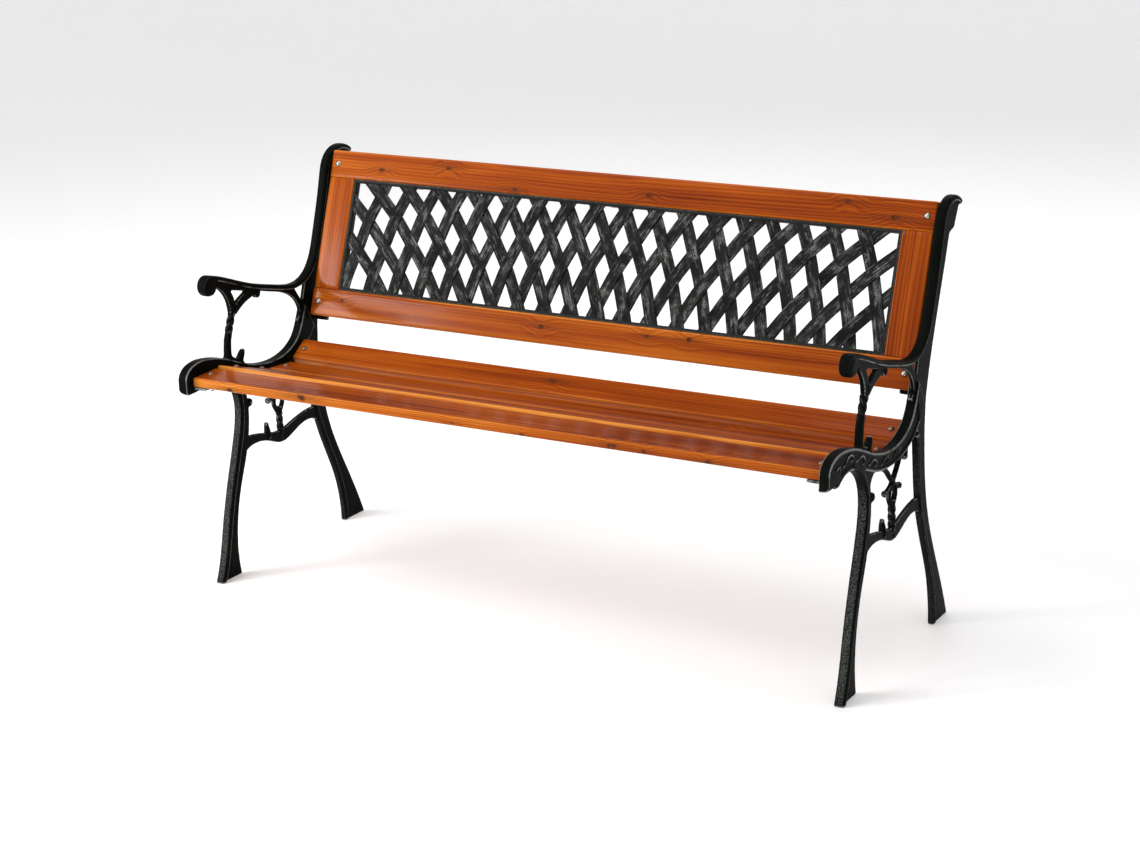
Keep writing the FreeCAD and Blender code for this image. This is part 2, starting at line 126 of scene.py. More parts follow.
def make_stage():
    """The world's light, the floor and five soft lights."""
    world = bpy.data.worlds.new("studio")
    bpy.context.scene.world = world
    world.use_nodes = True
    background = world.node_tree.nodes["Background"]
    background.inputs["Color"].default_value = (1.0, 1.0, 1.0, 1.0)
    background.inputs["Strength"].default_value = 0.42
    mesh = sweep_mesh()
    floor = bpy.data.objects.new("floor", mesh)
    bpy.context.scene.collection.objects.link(floor)
    material = bpy.data.materials.new("floor_pale")
    material.use_nodes = True
    shader = material.node_tree.nodes["Principled BSDF"]
    shader.inputs["Base Color"].default_value = (0.90, 0.90, 0.90, 1.0)
    shader.inputs["Roughness"].default_value = 0.9
    shader.inputs["Specular IOR Level"].default_value = 0.1
    shader.inputs["Emission Color"].default_value = (1.0, 1.0, 1.0, 1.0)
    shader.inputs["Emission Strength"].default_value = 0.20
    mesh.materials.append(material)
    middle = (0.0, 0.0, 0.45)
    add_light("key", (-1.8, -1.9, 3.1), middle, (2.0, 1.1), 66.0)
    add_light("gloss", (-2.35, -2.15, 1.2), (-0.5, 0.1, 0.45), (0.8, 0.7), 38.0)
    add_light("top", (0.2, 0.2, 3.5), middle, (2.2, 1.4), 26.0)
    add_light("side", (3.2, -1.8, 2.2), middle, (0.5, 1.2), 4.0)
    add_light("rear", (-0.6, 3.2, 2.8), middle, (3.0, 0.8), 28.0)
    bpy.context.scene.view_settings.view_transform = "Standard"


# --- node helpers ----------------------------------------------------------------------------------
# Each helper adds a node to a material's tree and returns the socket that it gives.
def add(tree, kind, inputs=(), **settings):
    """A shader node, itself, with its settings, its values and its links."""
    node = tree.nodes.new("ShaderNode" + kind)
    for name, value in settings.items():
        setattr(node, name, value)
    for key, value in dict(inputs).items():
        if isinstance(value, bpy.types.NodeSocket):
            tree.links.new(value, node.inputs[key])
        else:
            node.inputs[key].default_value = value
    return node


def calc(tree, operation, *values, clamp=False):
    """A sum on numbers or sockets."""
    inputs = {index: value for index, value in enumerate(values)}
    return add(tree, "Math", inputs, operation=operation, use_clamp=clamp).outputs[0]


def stretched(tree, vector, scale, shift=(0.0, 0.0, 0.0)):
    return add(tree, "Mapping", {"Vector": vector, "Scale": scale, "Location": shift}).outputs[0]


def noise_value(tree, vector, scale, detail=4.0, roughness=0.55):
    inputs = {"Vector": vector, "Scale": scale, "Detail": detail, "Roughness": roughness}
    return add(tree, "TexNoise", inputs).outputs["Fac"]


def between(tree, value, low, high):
    """0 below low, 1 above high, smooth between; low may be the larger."""
    inputs = {"Value": value, "From Min": low, "From Max": high}
    return add(tree, "MapRange", inputs, interpolation_type="SMOOTHSTEP").outputs[0]


def mixed(tree, factor, first, second, blend="MIX"):
    inputs = {0: factor, 6: first, 7: second}
    return add(tree, "Mix", inputs, data_type="RGBA", blend_type=blend).outputs[2]


def ramp(tree, factor, stops):
    node = add(tree, "ValToRGB", {"Fac": factor})
    elements = node.color_ramp.elements
    while len(elements) < len(stops):
        elements.new(0.5)
    for element, (position, colour) in zip(elements, stops):
        element.position = position
        element.color = (*colour, 1.0)
    return node.outputs["Color"]


def bumped(tree, height, strength, distance, normal=None):
    inputs = {"Height": height, "Strength": strength, "Distance": distance}
    if normal is not None:
        inputs["Normal"] = normal
    return add(tree, "Bump", inputs).outputs["Normal"]


def new_material(name):
    material = bpy.data.materials.new(name)
    material.use_nodes = True
    return material, material.node_tree, material.node_tree.nodes["Principled BSDF"]


# --- materials -------------------------------------------------------------------------------------
def varnished_wood(name, seed, tone, pith, knots=(), ring=2.6, painted_falloff=0.12, painted_edge_highlight=0.30):
    """Pine under orange-brown gloss varnish.  The grain runs along the piece's own X.

    seed shifts the noise, tone is from dark to light, pith is the (across, out) place of the
    growth rings' centre in metres, knots are (along, across, out, radius) in metres, ring is the
    spacing of the growth rings in millimetres; the next argument is painted shade that darkens it
    towards the right end, away from the key light, and the last is a painted highlight that
    lightens its rounded edges and narrow sides.
    """
    material, tree, shader = new_material(name)
    place = add(tree, "TexCoord").outputs["Object"]
    shifted = stretched(tree, place, (1.0, 1.0, 1.0), (seed * 1.7, seed * 0.31, seed * 0.47))
    x, y, z = add(tree, "SeparateXYZ", {0: place}).outputs[:3]
    slow = noise_value(tree, stretched(tree, shifted, (0.9, 6.0, 6.0)), 1.0, 2.0, 0.4)
    quick = noise_value(tree, stretched(tree, shifted, (5.0, 40.0, 40.0)), 1.0, 2.0, 0.5)
    sway = calc(tree, "MULTIPLY", calc(tree, "SUBTRACT", slow, 0.5), 0.040)
    sway = calc(tree, "ADD", sway, calc(tree, "MULTIPLY", calc(tree, "SUBTRACT", quick, 0.5), 0.0022))
    across = calc(tree, "SUBTRACT", y, pith[0])
    out = calc(tree, "SUBTRACT", z, pith[1])
    swayed = calc(tree, "ADD", across, sway)
    radius = calc(tree, "SQRT", calc(tree, "ADD", calc(tree, "MULTIPLY", swayed, swayed),
                                     calc(tree, "MULTIPLY", out, out)))
    dark = None
    for knot_x, knot_y, knot_z, size in knots:
        dx = calc(tree, "MULTIPLY", calc(tree, "SUBTRACT", x, knot_x), 0.55)
        dy = calc(tree, "SUBTRACT", y, knot_y)
        dz = calc(tree, "SUBTRACT", z, knot_z)
        side_on = calc(tree, "ADD", calc(tree, "MULTIPLY", dy, dy), calc(tree, "MULTIPLY", dz, dz))
        away = calc(tree, "SQRT", calc(tree, "ADD", calc(tree, "MULTIPLY", dx, dx), side_on))
        wobble = noise_value(tree, stretched(tree, shifted, (90.0, 130.0, 60.0)), 1.0, 2.0)
        away = calc(tree, "ADD", away, calc(tree, "MULTIPLY", calc(tree, "SUBTRACT", wobble, 0.5), size))
        pull = between(tree, away, size * 4.0, 0.0)
        radius = calc(tree, "ADD", radius, calc(tree, "MULTIPLY", pull, size * 1.2))
        core = between(tree, away, size * 0.95, size * 0.25)
        tail_x = calc(tree, "MULTIPLY", dx, 0.22)
        tail = calc(tree, "SQRT", calc(tree, "ADD", calc(tree, "MULTIPLY", tail_x, tail_x), side_on))
        halo = calc(tree, "MULTIPLY", between(tree, tail, size * 1.1, size * 0.1), 0.42)
        spot = calc(tree, "MAXIMUM", core, halo)
        dark = spot if dark is None else calc(tree, "MAXIMUM", dark, spot)
    spread = noise_value(tree, stretched(tree, shifted, (0.4, 24.0, 24.0)), 1.0, 2.0, 0.5)
    turns = calc(tree, "ADD", calc(tree, "MULTIPLY", radius, 1000.0 / ring), calc(tree, "MULTIPLY", spread, 5.0))
    rings = calc(tree, "FRACT", turns)
    late = calc(tree, "MULTIPLY", between(tree, rings, 0.10, 0.88), between(tree, rings, 1.0, 0.93))
    fibre = noise_value(tree, stretched(tree, shifted, (5.0, 620.0, 620.0)), 1.0, 4.0, 0.6)
    streak = noise_value(tree, stretched(tree, shifted, (1.4, 90.0, 90.0)), 1.0, 3.0, 0.55)
    blotch = noise_value(tree, stretched(tree, shifted, (2.2, 12.0, 12.0)), 1.0, 3.0, 0.5)
    vein = noise_value(tree, stretched(tree, shifted, (3.2, 210.0, 210.0)), 1.0, 2.0, 0.5)
    shade = calc(tree, "MULTIPLY", late, 0.19)
    shade = calc(tree, "ADD", shade, calc(tree, "MULTIPLY", fibre, 0.40))
    shade = calc(tree, "ADD", shade, calc(tree, "MULTIPLY", streak, 0.78))
    shade = calc(tree, "ADD", shade, calc(tree, "MULTIPLY", blotch, 0.70))
    shade = calc(tree, "ADD", shade, calc(tree, "MULTIPLY", between(tree, vein, 0.62, 0.78), 0.30))
    # painted shade: darker towards the right end, away from the key light
    shade = calc(tree, "ADD", shade, calc(tree, "MULTIPLY", x, painted_falloff))
    # painted highlight: the rounded edges and narrow sides lighter, where the key light glints on the varnish
    highlight_amount = add(tree, "Attribute", attribute_name="painted_edge_highlight").outputs["Fac"]
    shade = calc(tree, "SUBTRACT", shade, calc(tree, "MULTIPLY", highlight_amount, painted_edge_highlight))
    shade = calc(tree, "ADD", shade, -0.42 - tone)
    colour = ramp(tree, shade, (
        (0.00, (0.640, 0.225, 0.028)),
        (0.25, (0.450, 0.108, 0.0055)),
        (0.50, (0.315, 0.056, 0.0018)),
        (0.75, (0.190, 0.026, 0.0010)),
        (1.00, (0.070, 0.008, 0.0008)),
    ))
    if dark is not None:
        heart = noise_value(tree, stretched(tree, shifted, (150.0, 260.0, 100.0)), 1.0, 3.0)
        knot_colour = ramp(tree, heart, ((0.3, (0.028, 0.008, 0.003)), (0.7, (0.16, 0.036, 0.008))))
        colour = mixed(tree, dark, colour, knot_colour)
    scuff = noise_value(tree, stretched(tree, shifted, (300.0, 300.0, 300.0)), 1.0, 1.0)
    speck = between(tree, scuff, 0.845, 0.86)
    colour = mixed(tree, speck, colour, (0.85, 0.72, 0.60, 1.0))
    tree.links.new(colour, shader.inputs["Base Color"])
    sheen_map = noise_value(tree, stretched(tree, shifted, (12.0, 40.0, 40.0)), 1.0, 4.0)
    rough = add(tree, "MapRange", {"Value": sheen_map, "To Min": 0.30, "To Max": 0.52}).outputs[0]
    tree.links.new(rough, shader.inputs["Roughness"])
    shader.inputs["IOR"].default_value = 1.10
    shader.inputs["Coat Weight"].default_value = 0.45
    shader.inputs["Coat Roughness"].default_value = 0.14
    shader.inputs["Coat IOR"].default_value = 1.24
    grain_height = calc(tree, "ADD", calc(tree, "MULTIPLY", fibre, 0.5), calc(tree, "MULTIPLY", late, 0.25))
    normal = bumped(tree, grain_height, 0.35, 0.0004)
    flow = noise_value(tree, stretched(tree, shifted, (14.0, 55.0, 55.0)), 1.0, 2.0)
    normal = bumped(tree, flow, 0.25, 0.0012, normal)
    tree.links.new(normal, shader.inputs["Normal"])
    coat_normal = bumped(tree, flow, 0.30, 0.0012)
    tree.links.new(coat_normal, shader.inputs["Coat Normal"])
    return material


def painted_iron(name, worn, silver):
    """Semi-gloss black paint on rough castings, worn to grey along the edges, the grey also a painted highlight
    there, with painted light down the legs' front faces.
    """
    material, tree, shader = new_material(name)
    place = add(tree, "TexCoord").outputs["Object"]
    edge = add(tree, "Attribute", attribute_name="edge").outputs["Fac"]
    patchy = noise_value(tree, place, 26.0, 5.0, 0.6)
    grit = noise_value(tree, place, 420.0, 3.0, 0.6)
    cloud = noise_value(tree, place, 9.0, 3.0, 0.5)
    base = ramp(tree, cloud, (
        (0.30, (0.0026, 0.0030, 0.0025)),
        (0.55, (0.0044, 0.0055, 0.0045)),
        (0.75, (0.0076, 0.0095, 0.0080)),
    ))
    # painted light: the legs' front faces, lit by the key light, speckled lighter; less on the rear legs under the
    # seat
    front = add(tree, "Attribute", attribute_name="lit_front").outputs["Fac"]
    # edge wear, grey along the convex edges, which also serves as a painted highlight for the glints of light along
    # them
    wear_and_painted_light = calc(tree, "MULTIPLY", between(tree, edge, 0.74, 0.96), between(tree, patchy, 0.28, 0.55))
    wear_and_painted_light = calc(tree, "MULTIPLY", wear_and_painted_light, between(tree, grit, 0.15, 0.55))
    speckle = noise_value(tree, place, 700.0, 2.0, 0.6)
    lit_front_speckle = calc(tree, "MULTIPLY", front, between(tree, speckle, 0.44, 0.60))
    wear_and_painted_light = calc(tree, "MAXIMUM", wear_and_painted_light, calc(tree, "MULTIPLY", lit_front_speckle, 0.36))
    # worn scales both the wear and the painted light
    wear_and_painted_light = calc(tree, "MULTIPLY", wear_and_painted_light, worn)
    colour = mixed(tree, wear_and_painted_light, base, silver)
    dust = calc(tree, "MULTIPLY", between(tree, grit, 0.60, 0.78), between(tree, patchy, 0.45, 0.75))
    colour = mixed(tree, calc(tree, "MULTIPLY", dust, 0.09), colour, (0.09, 0.105, 0.10, 1.0))
    tree.links.new(colour, shader.inputs["Base Color"])
    rough = add(tree, "MapRange", {"Value": patchy, "To Min": 0.26, "To Max": 0.50}).outputs[0]
    tree.links.new(rough, shader.inputs["Roughness"])
    shader.inputs["IOR"].default_value = 1.06
    shader.inputs["Specular IOR Level"].default_value = 0.60
    pits = noise_value(tree, place, 300.0, 4.0, 0.6)
    normal = bumped(tree, pits, 0.40, 0.0006)
    normal = bumped(tree, grit, 0.30, 0.0003, normal)
    tree.links.new(normal, shader.inputs["Normal"])
    return material


def dry_brushed_iron(name):
    """Charcoal paint with silver dragged over it along each strip."""
    material, tree, shader = new_material(name)
    grain = add(tree, "Attribute", attribute_name="grain").outputs["Vector"]
    edge = add(tree, "Attribute", attribute_name="edge").outputs["Fac"]
    place = add(tree, "TexCoord").outputs["Object"]
    streak = noise_value(tree, stretched(tree, grain, (16.0, 420.0, 1.0)), 1.0, 5.0, 0.62)
    fine = noise_value(tree, stretched(tree, grain, (60.0, 900.0, 1.0)), 1.0, 3.0, 0.6)
    patch = noise_value(tree, place, 16.0, 4.0, 0.6)
    grit = noise_value(tree, place, 330.0, 4.0, 0.65)
    base = ramp(tree, patch, ((0.3, (0.005, 0.0057, 0.005)), (0.7, (0.015, 0.0165, 0.0150))))
    mottle = noise_value(tree, stretched(tree, grain, (34.0, 80.0, 1.0)), 1.0, 5.0, 0.68)
    drag = calc(tree, "MULTIPLY", between(tree, streak, 0.42, 0.68), between(tree, mottle, 0.44, 0.62))
    drag = calc(tree, "ADD", drag, calc(tree, "MULTIPLY", between(tree, mottle, 0.52, 0.70),
                                        between(tree, grit, 0.40, 0.60)))
    drag = calc(tree, "ADD", drag, calc(tree, "MULTIPLY", between(tree, fine, 0.60, 0.74), 0.15))
    drag = calc(tree, "ADD", drag, calc(tree, "MULTIPLY", between(tree, edge, 0.5, 1.0),
                                        calc(tree, "MULTIPLY", between(tree, grit, 0.35, 0.6), 0.5)))
    colour = mixed(tree, calc(tree, "MULTIPLY", drag, 0.8, clamp=True), base, (0.190, 0.196, 0.190, 1.0))
    tree.links.new(colour, shader.inputs["Base Color"])
    shader.inputs["IOR"].default_value = 1.10
    shader.inputs["Specular IOR Level"].default_value = 0.60
    rough = add(tree, "MapRange", {"Value": streak, "To Min": 0.32, "To Max": 0.58}).outputs[0]
    tree.links.new(rough, shader.inputs["Roughness"])
    normal = bumped(tree, streak, 0.45, 0.0008)
    normal = bumped(tree, grit, 0.4, 0.0005, normal)
    tree.links.new(normal, shader.inputs["Normal"])
    return material


def zinc(name, base, roughness):
    """Plated steel, a little scratched and tarnished."""
    material, tree, shader = new_material(name)
    place = add(tree, "TexCoord").outputs["Object"]
    stain = noise_value(tree, place, 300.0, 4.0, 0.6)
    scratch = noise_value(tree, stretched(tree, place, (300.0, 2600.0, 900.0)), 1.0, 3.0, 0.6)
    dull = tuple(0.45 * part for part in base)
    colour = mixed(tree, between(tree, stain, 0.35, 0.75), (*base, 1.0), (*dull, 1.0))
    tree.links.new(colour, shader.inputs["Base Color"])
    shader.inputs["Metallic"].default_value = 1.0
    rough = add(tree, "MapRange", {"Value": scratch, "To Min": roughness * 0.6, "To Max": roughness * 1.5})
    tree.links.new(rough.outputs[0], shader.inputs["Roughness"])
    tree.links.new(bumped(tree, scratch, 0.2, 0.0002), shader.inputs["Normal"])
    return material


# --- mesh helpers ----------------------------------------------------------------------------------
def show(name, mesh, material, nodes, matrix=None):
    """Put a finished mesh in the scene in the place of CAD nodes."""
    piece = bpy.data.objects.new(name, mesh)
    bpy.context.scene.collection.objects.link(piece)
    mesh.materials.clear()
    mesh.materials.append(material)
    mesh.shade_smooth()
    if matrix is not None:
        piece.matrix_world = matrix
    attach(piece, BODY)
    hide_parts(*nodes)
    return piece


def board_frame(node, facing, along=ALONG):
    """A board's axes (along the grain, across it, out of its face), its middle and its size."""
    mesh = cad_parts[node].data
    areas = {}
    for polygon in mesh.polygons:
        normal = polygon.normal
        if abs(normal.x) < 0.05 and normal.dot(facing) > 0.5:
            key = tuple(round(part, 3) for part in normal)
            areas[key] = areas.get(key, 0.0) + polygon.area
    out = Vector(max(areas, key=areas.get)).normalized()
    if along is None:
        along = out.cross(ALONG).normalized()
    across = out.cross(along).normalized()
    axes = Matrix((along, across, out))
    local = [axes @ vertex.co for vertex in mesh.vertices]
    low = Vector([min(point[axis] for point in local) for axis in range(3)])
    high = Vector([max(point[axis] for point in local) for axis in range(3)])
    middle = axes.transposed() @ ((low + high) / 2)
    matrix = Matrix.Translation(middle) @ axes.transposed().to_4x4()
    return matrix, high - low


def rounded_section(width, thickness, radius, inset=0.0):
    """Points round a board's section, each with how strong its painted highlight is, 0 to 1."""
    half_w = width / 2 - radius
    half_t = thickness / 2 - radius
    corners = ((half_w, half_t, 0), (-half_w, half_t, 90), (-half_w, -half_t, 180), (half_w, -half_t, 270))
    steps = 5
    flats = (10, 2, 10, 2)
    # the narrow sides get part of the painted highlight too
    side_highlight = 0.75
    reach = radius - inset
    points = []
    for index, (cy, cz, start) in enumerate(corners):
        for step in range(steps + 1):
            angle = math.radians(start + 90.0 * step / steps)
            highlight = max(math.sin(math.pi * step / steps), side_highlight * math.cos(angle) ** 2)
            points.append((cy + reach * math.cos(angle), cz + reach * math.sin(angle), highlight))
        next_y, next_z, _ = corners[(index + 1) % 4]
        angle = math.radians(start + 90.0)
        begin_y, begin_z, _ = points[-1]
        end_y = next_y + reach * math.cos(angle)
        end_z = next_z + reach * math.sin(angle)
        for step in range(1, flats[index]):
            share = step / flats[index]
            points.append((begin_y + (end_y - begin_y) * share, begin_z + (end_z - begin_z) * share,
                           side_highlight * (index % 2)))
    return points


def board_mesh(name, size, radius, seed):
    """A board with rounded long edges, softened ends and a slightly uneven planed surface."""
    length, width, thickness = size
    half = length / 2
    soft = 1.6 * MM
    spacing = 14 * MM
    unevenness = 0.22 * MM
    planed_off = 0.25 * MM
    count = max(8, int(length / spacing))
    stations = [(-half, 0.8 * MM), (-half + 0.35 * soft, 0.3 * MM), (-half + soft, 0.0)]
    for step in range(1, count):
        stations.append((-half + soft + (length - 2 * soft) * step / count, 0.0))
    stations += [(half - soft, 0.0), (half - 0.35 * soft, 0.3 * MM), (half, 0.8 * MM)]
    build = bmesh.new()
    # each point carries its share of the painted edge highlight
    painted_edge_highlight = build.verts.layers.float.new("painted_edge_highlight")
    rings = []
    for x, inset in stations:
        loop = []
        for y, z, highlight_amount in rounded_section(width, thickness, radius, inset):
            out = noise.noise(Vector((x * 5.0 + seed, y * 22.0, z * 40.0))) * unevenness - planed_off
            reach = math.hypot(y, z)
            vertex = build.verts.new((x, y + y / reach * out, z + z / reach * out))
            vertex[painted_edge_highlight] = highlight_amount
            loop.append(vertex)
        rings.append(loop)
    for first, second in zip(rings, rings[1:]):
        for index in range(len(first)):
            other = (index + 1) % len(first)
            build.faces.new((first[index], first[other], second[other], second[index]))
    build.faces.new(list(reversed(rings[0])))
    build.faces.new(rings[-1])
    bmesh.ops.recalc_face_normals(build, faces=build.faces)
    mesh = bpy.data.meshes.new(name)
    build.to_mesh(mesh)
    build.free()
    return mesh


def edge_attribute(mesh, rounds=2, gain=1.0):
    """Store how convex the surface is at each vertex: 0 hollow, 0.5 flat, 1 a sharp edge."""
    count = len(mesh.vertices)
    points = np.empty(count * 3, np.float32)
    mesh.vertices.foreach_get("co", points)
    points = points.reshape(-1, 3)
    normals = np.empty(count * 3, np.float32)
    mesh.vertices.foreach_get("normal", normals)
    normals = normals.reshape(-1, 3)
    ends = np.empty(len(mesh.edges) * 2, np.int32)
    mesh.edges.foreach_get("vertices", ends)
    first, second = ends.reshape(-1, 2).T
    degree = np.bincount(ends, minlength=count).astype(np.float32)[:, None]
    total = np.zeros_like(points)
    np.add.at(total, first, points[second])
    np.add.at(total, second, points[first])
    lengths = np.linalg.norm(points[first] - points[second], axis=1).mean()
    bend = -np.einsum("ij,ij->i", total / degree - points, normals) / lengths
    for _ in range(rounds):
        spread = np.zeros(count, np.float32)
        np.add.at(spread, first, bend[second])
        np.add.at(spread, second, bend[first])
        bend = 0.5 * bend + 0.5 * spread / degree[:, 0]
    value = np.clip(0.5 + bend * 3.0 * gain, 0.0, 1.0).astype(np.float32)
    attribute = mesh.attributes.new("edge", "FLOAT", "POINT")
    attribute.data.foreach_set("value", value)


def lit_front_attribute(mesh):
    """Store where painted light falls: down the front faces of the legs, full on the front legs and weaker on the
    rear legs under the seat.
    """
    values = []
    limit = side(130, 0, 0).y
    for vertex in mesh.vertices:
        facing = min(1.0, max(0.0, (-vertex.normal.y - 0.84) / 0.12))
        low = min(1.0, max(0.0, (0.350 - vertex.co.z) / 0.06))
        # full painted light on the front legs, a third of it on the rear legs in the seat's shade
        values.append(facing * low if vertex.co.y < limit else 0.35 * facing * low)
    attribute = mesh.attributes.new("lit_front", "FLOAT", "POINT")
    attribute.data.foreach_set("value", values)


# --- end frames ------------------------------------------------------------------------------------
# The side view is drawn in millimetres from the toe of the front foot, y rearwards and z up.
FRAME_LOW, FRAME_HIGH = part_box("end_frame_right")
NOSE_Y = -56.0
OUTER_FACE = 0.600
MIDDLE_PLANE = 0.591


def side(y, z, x):
    return Vector((x, FRAME_LOW.y + (y - NOSE_Y) * MM, FRAME_LOW.z + z * MM))


def tube(build, points, radii, sides=10):
    """A round tube through points, closed at both ends."""
    rings = []
    previous = None
    for index, point in enumerate(points):
        before = points[max(index - 1, 0)]
        after = points[min(index + 1, len(points) - 1)]
        along = (after - before).normalized()
        if previous is None:
            previous = along.orthogonal().normalized()
        across = (previous - along * previous.dot(along)).normalized()
        previous = across
        other = along.cross(across)
        ring = []
        for step in range(sides):
            angle = 2 * math.pi * step / sides
            ring.append(build.verts.new(point + (across * math.cos(angle) + other * math.sin(angle)) * radii[index]))
        rings.append(ring)
    for first, second in zip(rings, rings[1:]):
        for index in range(sides):
            nxt = (index + 1) % sides
            build.faces.new((first[index], first[nxt], second[nxt], second[index]))
    build.faces.new(list(reversed(rings[0])))
    build.faces.new(rings[-1])


def ball(build, centre, radius):
    bmesh.ops.create_icosphere(build, subdivisions=3, radius=radius * MM, matrix=Matrix.Translation(centre))


def rope(build, start, end, turns, strand_radius, helix_radius):
    """Two thick strands twisted round each other from start to end, drawn in at both ends."""
    axis = end - start
    along = axis.normalized()
    across = along.cross(ALONG).normalized()
    steps = 60
    for strand in range(2):
        points = []
        radii = []
        for step in range(steps + 1):
            share = step / steps
            angle = 2 * math.pi * (share * turns + strand / 2)
            swell = min(1.0, 0.25 + 6.0 * min(share, 1.0 - share))
            offset = (across * math.cos(angle) + ALONG * math.sin(angle)) * helix_radius * swell * MM
            points.append(start + axis * share + offset)
            radii.append(strand_radius * (0.85 + 0.15 * swell) * MM)
        tube(build, points, radii)


def curve_through(points, steps):
    """Points along a smooth curve through the given side-view points."""
    result = []
    for index in range(len(points) - 1):
        p0 = points[max(index - 1, 0)]
        p1 = points[index]
        p2 = points[index + 1]
        p3 = points[min(index + 2, len(points) - 1)]
        for step in range(steps):
            t = step / steps
            result.append(tuple(
                0.5 * (2 * b + (c - a) * t + (2 * a - 5 * b + 4 * c - d) * t * t
                       + (3 * b - a - 3 * c + d) * t * t * t)
                for a, b, c, d in zip(p0, p1, p2, p3)))
    result.append(points[-1])
    return result


WAVE = ((-19, -5.5), (-13, -3.0), (-7, 1.2), (-1, 5.2), (6, 6.6), (13, 4.6), (17, 0.2), (15, -4.0),
        (9, -5.4), (4.5, -3.0), (6.0, 0.2))


def wave_scroll(build, centre, turn, size):
    """One wave of the running scroll: a crest that curls over and inwards to an eye."""
    cosine = math.cos(turn)
    sine = math.sin(turn)
    surface = OUTER_FACE - 2.3 * MM
    stroke = curve_through(WAVE, 5)
    points = []
    radii = []
    for index, (y, z) in enumerate(stroke):
        share = index / (len(stroke) - 1)
        y, z = y * size, z * size
        points.append(side(centre[0] + y * cosine - z * sine, centre[1] + y * sine + z * cosine, surface))
        radii.append((0.8 + 1.2 * math.sin(math.pi * min(1.0, share * 1.25)) ** 0.8) * size * MM)
    tube(build, points, radii, 8)


# Twisted stems: start and end in the side view, turns, strand radius and helix radius in millimetres.
ROPES = (((91, 477), (75, 436), 1.5, 5.3, 1.9),
         ((206, 226), (205, 266), 1.5, 5.0, 1.8))
# Tapering rods: points in the side view and the radius at each.
RODS = ((((78, 442), (73, 428), (71, 410), (70.5, 392)), (6.4, 6.7, 6.9, 7.6)),             # arm's shin
        (((95, 374), (102, 385), (108.5, 395), (112.5, 402)), (7.6, 7.4, 6.2, 4.0)),        # arm's finger
        (((169.5, 223), (168.5, 231), (167, 241), (165.5, 250.5)), (6.0, 6.4, 5.6, 3.8)),   # brace's finger
        (((98, 488), (95, 480), (90, 470)), (6.2, 6.2, 5.6)),
        (((205, 260), (206, 273)), (5.2, 5.4)))
# The two branches that cross and close a loop over the brace's stem.
BRANCHES = (((148, 341), (167, 334), (181, 325), (192, 314), (205, 303), (214, 293), (216.5, 282), (212, 271),
             (206, 262)),
            ((242, 345), (231, 333), (219, 318), (205, 303), (194, 293), (191, 282), (196, 271), (203, 262)))
BRANCH_RADIUS = 4.4
# Waves of the seat band: centre, turn in radians and size.
WAVES = (((-27, 381), 0.62, 0.92), ((16, 392), 0.02, 1.0), ((62, 380), -0.40, 1.0),
         ((108, 361), -0.30, 0.95), ((156, 350.5), -0.08, 0.9), ((203, 351), 0.20, 0.85))
KNOBS = (((175, 291), 5.6), ((231, 289), 5.6), ((120, 303), 7.0), ((160, 492), 7.4), ((253, 330), 5.8))


def iron_details(build):
    """Everything that the castings have and their CAD nodes leave plain."""
    for start, end, turns, strand_radius, helix_radius in ROPES:
        rope(build, side(*start, MIDDLE_PLANE), side(*end, MIDDLE_PLANE), turns, strand_radius, helix_radius)
    curves = [curve_through(branch, 3) for branch in BRANCHES]
    branches = tuple((curve, (BRANCH_RADIUS,) * len(curve)) for curve in curves)
    for points, radii in RODS + branches:
        tube(build, [side(*point, MIDDLE_PLANE) for point in points], [radius * MM for radius in radii], 16)
    for centre, turn, size in WAVES:
        wave_scroll(build, centre, turn, size)
    for centre, radius in KNOBS:
        ball(build, side(*centre, MIDDLE_PLANE), radius)


def skinned(mesh, voxel, rounds, cutters=()):
    """A mesh with everything in it under one skin, its edges softened, less the cutters."""
    holder = bpy.data.objects.new("holder", mesh)
    bpy.context.scene.collection.objects.link(holder)
    for cutter in cutters:
        cut = holder.modifiers.new("cut", "BOOLEAN")
        cut.operation = "DIFFERENCE"
        cut.solver = "EXACT"
        cut.object = cutter
    remesh = holder.modifiers.new("skin", "REMESH")
    remesh.mode = "VOXEL"
    remesh.voxel_size = voxel
    smooth = holder.modifiers.new("soften", "SMOOTH")
    smooth.factor = 0.5
    smooth.iterations = rounds
    bpy.context.view_layer.update()
    ready = holder.evaluated_get(bpy.context.evaluated_depsgraph_get())
    result = bpy.data.meshes.new_from_object(ready)
    bpy.data.objects.remove(holder)
    for cutter in cutters:
        bpy.data.objects.remove(cutter)
    return result


def stem_cutter(start, end, radius):
    """A rod that takes away the plain core of a stem, for the twisted strands to replace."""
    build = bmesh.new()
    tube(build, [start, end], [radius * MM, radius * MM], 24)
    bmesh.ops.recalc_face_normals(build, faces=build.faces)
    mesh = bpy.data.meshes.new("cutter")
    build.to_mesh(mesh)
    build.free()
    cutter = bpy.data.objects.new("cutter", mesh)
    bpy.context.scene.collection.objects.link(cutter)
    return cutter


def cast_mesh(name, source):
    """The casting: the CAD node with softened edges, its twisted stems and its relief."""
    cutters = [stem_cutter(side(89.5, 471, MIDDLE_PLANE), side(77, 438, MIDDLE_PLANE), 7.6),
               stem_cutter(side(206, 231, MIDDLE_PLANE), side(205, 260, MIDDLE_PLANE), 7.2)]
    rough = skinned(source.copy(), 1.3 * MM, 6, cutters)
    build = bmesh.new()
    build.from_mesh(rough)
    iron_details(build)
    build.to_mesh(rough)
    build.free()
    mesh = skinned(rough, 1.0 * MM, 2)
    mesh.name = name
    return mesh


